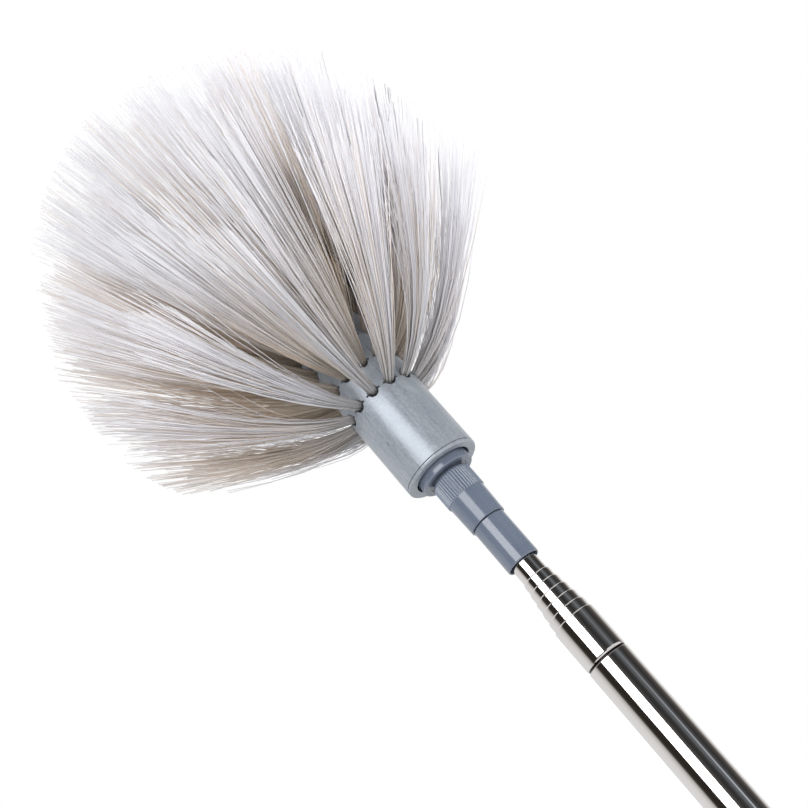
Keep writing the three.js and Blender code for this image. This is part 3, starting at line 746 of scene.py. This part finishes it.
shell_side = [(HUB_RADIUS - 0.2, SHELL_FOOT), (HUB_RADIUS, SHELL_FOOT + 0.2)]
shell_side += [(HUB_RADIUS, SHELL_FOOT + 1.1 + 2.0 * station) for station in range(51)]
shell_dome = []
shell_under = []
for turn in range(0, 91, 6):
    angle = math.radians(turn)
    cosine = 0 if turn == 90 else math.cos(angle)
    shell_dome.append((HUB_RADIUS * cosine, SHOULDER + DOME_HEIGHT * math.sin(angle)))
    shell_under.append((SHELL_BORE * cosine, SHOULDER + (DOME_HEIGHT - SHELL_WALL) * math.sin(angle)))
shell_bore = [(SHELL_BORE, SHELL_FOOT + 3.0 * station) for station in range(35)]
hub_shell = turned(
    "hub_shell_cup",
    shell_side + shell_dome + shell_under[::-1] + shell_bore[::-1] + shell_side[:1],
    144,
)
hole_cutter = turned(
    "hole_cutter",
    [
        (0, -HOLE_DEPTH),
        (TUFT_HOLE, -HOLE_DEPTH),
        (TUFT_HOLE, -0.5),
        (TUFT_HOLE + 0.45, 0.3),
        (TUFT_HOLE + 2.2, HOLE_ABOVE),
        (0, HOLE_ABOVE),
    ],
    32,
)
bpy.ops.object.select_all(action="DESELECT")
bpy.ops.mesh.primitive_cube_add(size=1, scale=NOTCHES)
notch_cutter = bpy.context.object
bpy.ops.object.mode_set(mode="EDIT")
bpy.ops.mesh.bevel(offset=0.2 * mm, segments=1, affect="EDGES")
bpy.ops.object.mode_set(mode="OBJECT")
applied(hole_cutter, "BOOLEAN", operation="UNION", solver="EXACT", object=notch_cutter)
bpy.data.objects.remove(notch_cutter)
drills = []
for row in TUFT_ROWS:
    for tuft in range(row["count"]):
        bearing, mouth, along, front, axis = tuft_frame(row, tuft)
        drill = hole_cutter.copy()
        drill.data = hole_cutter.data.copy()
        bpy.context.collection.objects.link(drill)
        turn = Matrix((along, front, axis)).transposed().to_4x4()
        drill.data.transform(Matrix.Translation(mouth * mm) @ turn)
        drills.append(drill)
bpy.ops.object.select_all(action="DESELECT")
for drill in drills:
    drill.select_set(True)
bpy.context.view_layer.objects.active = drills[0]
bpy.ops.object.join()
bpy.data.objects.remove(hole_cutter)
cut_away(hub_shell, drills[0])
smoothed(hub_shell, 24)
hub_shell.data.materials.append(hub_plastic)
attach(hub_shell, "head")
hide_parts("hub_shell")

# Bristles: tufts of thin clear plastic filament, stapled into the hub's holes and backed by rings inside.
# Each tuft leaves its hole as a tight bundle, bends and fans out to ragged tips on one large ball.
# The filaments are too many to model by hand, so each is drawn as a three-sided strand on a bent path.
BALL_RADIUS = 126.0
BALL_HEIGHT = 648.0
FILAMENTS = 84
FILAMENT_RADIUS = 0.25
FILAMENT_TAPER = 0.15
THINNEST = 0.85
THICKNESS_SPREAD = 0.3
BUNDLE_RADIUS = 2.1
ROOT_DEPTH = 5.0
ROOT_DROP = 0.06
BEND_AWAY = 34.0
BEND_LOOSE = 2.2
CLUMPS = 9
CLUMP_SHARE = 0.24
CLUMP_SPREAD = 0.55
CLUMP_TONE = 0.45
OWN_TONE = 0.55
FAN_ASIDE = 11.0
FAN_AHEAD = 8.4
CROWN_FAN = 13.0
SAG = 4.0
LONGEST_TUFT = 1.04
LENGTH_SPREAD = 0.13
TURN_SPREAD = 2.6
TIP_SPREAD = 2.2
TONE_SPREAD = 0.15
SHORT_STRAYS = 0.06
SHORT_BY = 0.35
WIDE_STRAYS = 0.24
WIDE_BY = 1.3
WIDE_LOOSE = 2.4
STRAIGHT_FROM = 0.42
# Painted shade: tufts on the side turned from the lamps, and most of all those also behind, get a browner
# tone, which on those behind grows towards their upper side.
AWAY_FROM = 0.7
AWAY_SIDE_SHADE = 0.2
INNER_AWAY_SIDE_SHADE = 0.55
BEHIND_SHADE = 0.6
BEHIND_SHADE_SLOPE = 0.35
STATIONS = np.array([0.0, 0.06, 0.13, 0.22, 0.34, 0.5, 0.73, 1.0])
OUTER_TURNS = {1: 2.6, 2: -2.6}


def strands(row, chance):
    """The paths and tones of all filaments in a row of tufts, one line of stations each, in millimetres."""
    paths = []
    tones = []
    t = STATIONS[:, None]
    outer = row["fullness"] == 1
    tuft_lengths = LONGEST_TUFT - LENGTH_SPREAD * chance.random(row["count"])
    tuft_turns = chance.normal(0, TURN_SPREAD, row["count"])
    tuft_tips = chance.normal(0, TIP_SPREAD, row["count"])
    tuft_tones = chance.normal(0, TONE_SPREAD, row["count"])
    for tuft in range(row["count"]):
        bearing, mouth, along, front, axis = (
            np.array(part) if isinstance(part, Vector) else part for part in tuft_frame(row, tuft)
        )
        leaving = axis - [0, 0, ROOT_DROP] if outer else axis
        tuft_turn = tuft_turns[tuft] + (OUTER_TURNS.get(tuft, 0) if outer else 0)
        tuft_tip = tuft_tips[tuft] - SAG * (0.8 + math.sin(bearing)) * math.sin(math.radians(row["tip"]))
        # Painted shade: a browner tone for tufts on the side away from the lamps.
        away_side = max(0, -math.sin(bearing) - AWAY_FROM) / (1 - AWAY_FROM)
        behind = away_side if outer and math.cos(bearing) < 0 else 0
        tuft_tone = tuft_tones[tuft] + BEHIND_SHADE * behind
        tuft_tone += (AWAY_SIDE_SHADE if outer else INNER_AWAY_SIDE_SHADE) * away_side
        gathered = chance.normal(0, CLUMP_SPREAD, (CLUMPS, 2))
        clump_tone = chance.random(CLUMPS)
        for _ in range(round(FILAMENTS * row["fullness"])):
            turn = chance.random() * math.tau
            own = np.array([math.cos(turn), math.sin(turn)]) * chance.random() ** 0.62
            clump = int(np.argmin(np.linalg.norm(gathered - own, axis=1)))
            root = own * BUNDLE_RADIUS
            fan = (1 - CLUMP_SHARE) * own + CLUMP_SHARE * gathered[clump] + chance.normal(0, 0.03, 2)
            length = BALL_RADIUS * tuft_lengths[tuft] * (1 - LENGTH_SPREAD * chance.random() ** 1.7)
            stray = chance.random()
            loose = BEND_LOOSE * row["fullness"] ** 1.5
            if stray < SHORT_STRAYS:
                length *= 1 - SHORT_BY * chance.random()
            elif stray < WIDE_STRAYS:
                fan = fan * WIDE_BY + chance.normal(0, 0.2, 2)
                loose += WIDE_LOOSE * chance.random()
            if row["count"] == 1:
                polar = math.radians(CROWN_FAN) * math.hypot(*fan)
                bearing_to = math.atan2(fan[0], -fan[1])
            else:
                polar = math.radians(row["tip"] + tuft_tip - FAN_AHEAD * fan[1])
                widen = 1 / max(math.sin(math.radians(row["tip"])), 0.5)
                bearing_to = bearing + math.radians(tuft_turn + FAN_ASIDE * widen * fan[0])
            tip = np.array(
                [
                    length * math.sin(polar) * math.sin(bearing_to),
                    -length * math.sin(polar) * math.cos(bearing_to),
                    BALL_HEIGHT + length * math.cos(polar),
                ]
            )
            offset = root[0] * along + (0.8 * root[1] + 0.75) * front
            start = mouth - ROOT_DEPTH * axis + offset
            bend = mouth + BEND_AWAY * leaving + loose * offset
            straight = bend + (tip - bend) * STRAIGHT_FROM + chance.normal(0, 0.3, 3)
            leaving_part = (1 - t) ** 3 * start + 3 * t * (1 - t) ** 2 * bend
            straight_part = 3 * t**2 * (1 - t) * straight + t**3 * tip
            paths.append(leaving_part + straight_part)
            tone = tuft_tone + CLUMP_TONE * clump_tone[clump] + OWN_TONE * chance.random()
            # Painted shade: across a tuft behind, browner towards its upper side.
            tone += BEHIND_SHADE_SLOPE * behind * own[1]
            tones.append(min(1, max(0, tone)))
    return np.array(paths), np.array(tones)


def bristle_piece(name, rows, seed):
    """All filaments of some rows as one piece, with each point's place along its filament and its tone."""
    chance = np.random.default_rng(seed)
    drawn = [strands(row, chance) for row in rows]
    paths = np.concatenate([path for path, _ in drawn])
    tones = np.concatenate([tone for _, tone in drawn])
    count, stations, _ = paths.shape
    heading = np.gradient(paths, axis=1)
    heading /= np.linalg.norm(heading, axis=2, keepdims=True)
    helper = np.where(np.abs(heading[..., 2:3]) < 0.8, [0.0, 0.0, 1.0], [1.0, 0.0, 0.0])
    side = np.cross(heading, helper)
    side /= np.linalg.norm(side, axis=2, keepdims=True)
    third = np.cross(heading, side)
    taper = FILAMENT_RADIUS * (1 - FILAMENT_TAPER * STATIONS)
    widths = THINNEST + THICKNESS_SPREAD * chance.random(count)
    thin = taper[None, :, None] * widths[:, None, None]
    corners = []
    for corner in range(3):
        angle = math.tau * corner / 3
        corners.append(paths + thin * (math.cos(angle) * side + math.sin(angle) * third))
    points = np.stack(corners, 2).reshape(-1, 3) * mm
    block = np.arange(count * stations * 3).reshape(count, stations, 3)
    low = block[:, :-1]
    high = block[:, 1:]
    quads = []
    for corner in range(3):
        after = (corner + 1) % 3
        quads.append(np.stack([low[..., corner], low[..., after], high[..., after], high[..., corner]], -1))
    quads = np.stack(quads, 2).reshape(-1, 4)
    ends = np.concatenate([block[:, -1, :], block[:, 0, ::-1]])
    mesh = bpy.data.meshes.new(name)
    mesh.from_pydata(points.tolist(), [], quads.tolist() + ends.tolist())
    along = np.broadcast_to(STATIONS[None, :, None], (count, stations, 3)).reshape(-1)
    tone = np.repeat(tones, stations * 3)
    for label, values in (("along", along), ("tone", tone)):
        attribute = mesh.attributes.new(label, "FLOAT", "POINT")
        attribute.data.foreach_set("value", np.ascontiguousarray(values, dtype=np.float32))
    piece = bpy.data.objects.new(name, mesh)
    bpy.context.collection.objects.link(piece)
    alone(piece)
    bpy.ops.object.shade_smooth()
    return piece


def filament(name, root, shaded_tint, depth, shade_warmth, clearness):
    """Clear grey filament, its ends lit through, with painted light on its ends and painted shade towards
    its roots, warm among the inner rows.
    """
    material, shader, start = finish(name, {"Specular IOR Level": 0.75})
    along = start.make("Attribute", {"attribute_name": "along"}, output="Fac")
    tone = start.make("Attribute", {"attribute_name": "tone"}, output="Fac")
    streak = speckle(start, 240, 2)
    tints = [
        (0.0, (0.97, 0.97, 0.99, 1)),
        (0.24, (0.93, 0.94, 0.985, 1)),
        (0.4, (0.845, 0.85, 0.92, 1)),
        (0.56, (0.84, 0.805, 0.82, 1)),
        (0.72, (0.8, 0.72, 0.65, 1)),
        (1.0, (0.52, 0.41, 0.3, 1)),
    ]
    # Brown by each filament's own tone, and more so towards the root as painted shade deeper in the ball.
    tone_and_depth_shade = tone * (1 - 0.45 * along) + 0.12 * streak - 0.05
    body = start.make("ValToRGB", {"stops": tints}, {0: tone_and_depth_shade})
    # Painted shade: towards the root the colour goes to the shaded tint, darker grey on the outer row and a
    # warm painted bounce light on the inner rows.
    shaded = ranged(start, along, 0.0, depth, 0.7, 0.0)
    body = blend(start, shaded, body, shaded_tint)
    # Painted shade: each filament darkens to the root colour where it leaves its hole.
    root_shade = ranged(start, along, 0.02, 0.3, 0.9, 0.0)
    body = blend(start, root_shade, body, root)
    # Painted light: the ends are whitened towards a cool white, less on the brown filaments.
    painted_tip_light = ranged(start, along, 0.5, 1.0, 0.0, 0.4)
    body = blend(start, painted_tip_light * (1 - 0.75 * tone), body, (0.92, 0.925, 0.955, 1))
    body.to(shader, "Base Color")
    (0.24 + 0.2 * tone + 0.1 * streak).to(shader, "Roughness")
    clear_light = start.make("BsdfTranslucent", {}, {"Color": (0.945, 0.935, 0.945, 1)})
    warm_light = start.make("BsdfTranslucent", {}, {"Color": (0.92, 0.79, 0.63, 1)})
    # In the shaded part the light through the filament is made warmer, a painted bounce light, strongest on
    # the inner rows.
    warmth = ranged(start, tone_and_depth_shade + shade_warmth * shaded, 0.42, 0.9)
    lit_through = start.make("MixShader", {}, {0: warmth, 1: clear_light, 2: warm_light})
    coat = Shade(start.tree, shader.outputs[0])
    through = clearness + (0.66 - clearness) * along - 0.1 * tone
    mixed = start.make("MixShader", {}, {0: through, 1: coat, 2: lit_through})
    start.tree.links.new(mixed.socket, start.tree.nodes["Material Output"].inputs["Surface"])
    return material


# The root colour and the shaded tint are painted shade; on the inner rows the shaded tint is a warm painted
# bounce light.
outer_filament = filament("outer_filament", (0.42, 0.41, 0.41, 1), (0.54, 0.535, 0.56, 1), 0.85, 0.05, 0.2)
inner_filament = filament("inner_filament", (0.42, 0.37, 0.325, 1), (0.93, 0.81, 0.66, 1), 0.85, 0.6, 0.32)
RING_RADIUS = 17.0
RING_BORE = 10.0
RING_FOOT = 543.0
RING_HEIGHT = 15.9
RING_STEP = 16.2
RING_ROUNDING = 0.4
for order, (name, rows, material, seed) in enumerate(
    (
        ("bristle_row_1", TUFT_ROWS[:1], outer_filament, 57278),
        ("bristle_row_2", TUFT_ROWS[1:2], inner_filament, 6636),
        ("bristle_row_3", TUFT_ROWS[2:3], inner_filament, 8306),
        ("bristle_crown", TUFT_ROWS[3:], inner_filament, 48),
    )
):
    foot = RING_FOOT + RING_STEP * order
    top = foot + RING_HEIGHT
    backing = turned(
        name + "_backing",
        [
            (RING_BORE, foot),
            (RING_RADIUS - RING_ROUNDING, foot),
            (RING_RADIUS, foot + RING_ROUNDING),
            (RING_RADIUS, top - RING_ROUNDING),
            (RING_RADIUS - RING_ROUNDING, top),
            (RING_BORE, top),
            (RING_BORE, foot),
        ],
        96,
    )
    smoothed(backing, 30)
    backing.data.materials.append(hub_plastic)
    tufts = bristle_piece(name + "_filaments", rows, seed)
    tufts.data.materials.append(material)
    for piece in (backing, tufts):
        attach(piece, "head")
        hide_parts(name)

# Studio: a pale floor under the handle and a white sweep behind, lit by a large softbox above the camera
# and by a side light at the right that no surface mirrors. A ring of cloth flags, from black to white,
# stands all round and shows only in reflections, as the bands of the polished steel.
FLOOR_RADIUS = 1.6
FLOOR_DROP = 0.2 * mm
bpy.ops.object.select_all(action="DESELECT")
bpy.ops.mesh.primitive_circle_add(
    vertices=96,
    radius=FLOOR_RADIUS,
    fill_type="NGON",
    location=(0, 0, -FLOOR_DROP),
)
floor = bpy.context.object
floor.name = "floor"
pale_floor, shader, start = finish("pale_floor", {"Roughness": 0.7})
blend(start, speckle(start, 3, 3), (0.82, 0.82, 0.82, 1), (0.85, 0.85, 0.85, 1)).to(shader, "Base Color")
floor.data.materials.append(pale_floor)

world = bpy.data.worlds.new("white_sweep")
bpy.context.scene.world = world
world.use_nodes = True
sweep = Shade(world.node_tree)
seen = sweep.make("LightPath", output="Is Camera Ray")
mirrored = sweep.make("LightPath", output="Is Glossy Ray")
through = sweep.make("LightPath", output="Is Transmission Ray")
shown = sweep.make("Math", {"operation": "ADD", "use_clamp": True}, {0: seen + mirrored, 1: through})
FILL_LIGHT = 0.74
(FILL_LIGHT + (1 - FILL_LIGHT) * shown).to(world.node_tree.nodes["Background"], "Strength")
world.node_tree.nodes["Background"].inputs["Color"].default_value = (1, 1, 1, 1)

SOFTBOX_BEARING = math.radians(-11)
SOFTBOX_AWAY = 1.1
SOFTBOX_HEIGHT = 0.79
SOFTBOX_AIM = 0.62
SOFTBOX_POWER = 12.4
SIDE_BEARING = math.radians(108)
SIDE_AWAY = 1.2
SIDE_HEIGHT = 0.95
SIDE_AIM = 0.66
SIDE_POWER = 16.5


def area_lamp(name, bearing, away, height, aim_height, power):
    """A lamp on a circle round the pole, turned to a height on the pole."""
    lamp = bpy.data.objects.new(name, bpy.data.lights.new(name, "AREA"))
    bpy.context.collection.objects.link(lamp)
    lamp.location = (away * math.sin(bearing), -away * math.cos(bearing), height)
    aim = Vector((0, 0, aim_height)) - lamp.location
    lamp.rotation_euler = aim.to_track_quat("-Z", "Y").to_euler()
    lamp.data.size = 0.9
    lamp.data.energy = power
    lamp.visible_camera = False
    return lamp


softbox = area_lamp("softbox", SOFTBOX_BEARING, SOFTBOX_AWAY, SOFTBOX_HEIGHT, SOFTBOX_AIM, SOFTBOX_POWER)
softbox.data.shape = "RECTANGLE"
softbox.data.size_y = 0.98
side_light = area_lamp("side_light", SIDE_BEARING, SIDE_AWAY, SIDE_HEIGHT, SIDE_AIM, SIDE_POWER)
side_light.visible_glossy = False

FLAG_FIRST = -95
FLAG_LAST = 265
FLAG_AWAY = 1.3
FLAG_LOW_LEFT = 0.02
FLAG_LOW = 0.3
FLAG_HIGH = 1.65
FLAG_CUTS = 71
LOW_LEFT_TO = math.radians(30)
STRIP_BEARING = math.radians(67)
bpy.ops.object.select_all(action="DESELECT")
bpy.ops.mesh.primitive_plane_add(size=1)
flags = bpy.context.object
flags.name = "side_flags"
bpy.ops.object.mode_set(mode="EDIT")
bpy.ops.mesh.select_all(action="SELECT")
bpy.ops.mesh.subdivide(number_cuts=FLAG_CUTS)
bpy.ops.object.mode_set(mode="OBJECT")
for vertex in flags.data.vertices:
    bearing = math.radians(FLAG_FIRST + (FLAG_LAST - FLAG_FIRST) * (vertex.co.x + 0.5))
    low = FLAG_LOW_LEFT if bearing < LOW_LEFT_TO else FLAG_LOW
    height = low + (FLAG_HIGH - low) * (vertex.co.y + 0.5)
    vertex.co = (FLAG_AWAY * math.sin(bearing), -FLAG_AWAY * math.cos(bearing), height)
side_flags, shader, start = finish(
    "side_flags",
    {"Base Color": (0, 0, 0, 1), "Roughness": 1.0, "Specular IOR Level": 0.0, "Emission Strength": 1.0},
)
bearing = bearing_of(start)
cloth = []
for degrees, grey, warmth in (
    (-95, 0.92, 0.02),
    (-85, 0.8, 0.02),
    (-76, 0.62, 0.03),
    (-71, 0.3, 0.05),
    (-67, 0.06, 0.12),
    (-58, 0.03, 0.15),
    (-40, 0.03, 0.15),
    (16, 0.1, 0.03),
    (24, 0.06, 0.03),
    (33, 0.04, 0.0),
    (44, 0.08, -0.03),
    (54, 0.16, -0.06),
    (65, 0.27, -0.07),
    (77, 0.15, -0.05),
    (88, 0.06, 0.02),
    (104, 0.06, 0.06),
    (122, 0.14, 0.08),
    (134, 0.5, 0.04),
    (145, 0.92, 0.02),
    (166, 0.96, 0.0),
    (171, 0.2, 0.03),
    (186, 0.1, 0.05),
    (197, 0.25, 0.0),
    (203, 0.98, 0.0),
    (256, 0.98, 0.0),
    (265, 0.92, 0.02),
):
    colour = (grey * (1 + warmth), grey, grey * (1 - warmth), 1)
    cloth.append(((degrees - FLAG_FIRST) / (FLAG_LAST - FLAG_FIRST), colour))
bearing = bearing + math.tau * (bearing < math.radians(FLAG_FIRST))
turned_to = (bearing - math.radians(FLAG_FIRST)) / math.radians(FLAG_LAST - FLAG_FIRST)
shown = start.make("ValToRGB", {"stops": cloth}, {0: turned_to})
creased = ranged(start, speckle(start, 1, 4, (13, 13, 1.5)), 0.45, 0.6, 0.0, 0.8)
dark_side = (bearing > math.radians(28)) * (bearing < math.radians(96))
shown = blend(start, creased * dark_side, shown, (0.035, 0.033, 0.033, 1))
off_strip = start.make("Math", {"operation": "ABSOLUTE"}, {0: bearing - STRIP_BEARING})
strip = ranged(start, off_strip, 0.03, 0.1, 1.0, 0.0)
lowered = ranged(start, own_axis(start, "Z"), 0.2, 0.62, 1.0, 0.06)
blend(start, strip * lowered, shown, (0.82, 0.9, 1, 1)).to(shader, "Emission Color")
flags.data.materials.append(side_flags)
flags.visible_camera = False
flags.visible_diffuse = False
flags.visible_shadow = False
flags.visible_transmission = False

LENS = 59.26
SENSOR_WIDTH = 36
CAMERA_PLACE = (0.00684, -0.6207, 0.2713)
CAMERA_RIGHT = (0.7521, 0.2649, -0.6035)
CAMERA_FORWARD = (0, 0.9157, 0.4019)
camera_data = bpy.data.cameras.new("camera")
camera_data.lens = LENS
camera_data.sensor_width = SENSOR_WIDTH
camera = bpy.data.objects.new("camera", camera_data)
bpy.context.collection.objects.link(camera)
right = Vector(CAMERA_RIGHT).normalized()
forward = Vector(CAMERA_FORWARD).normalized()
up = right.cross(forward)
facing = Matrix((right, up, -forward)).transposed().to_4x4()
camera.matrix_world = Matrix.Translation(CAMERA_PLACE) @ facing
bpy.context.scene.camera = camera
bpy.context.scene.view_settings.view_transform = "Standard"
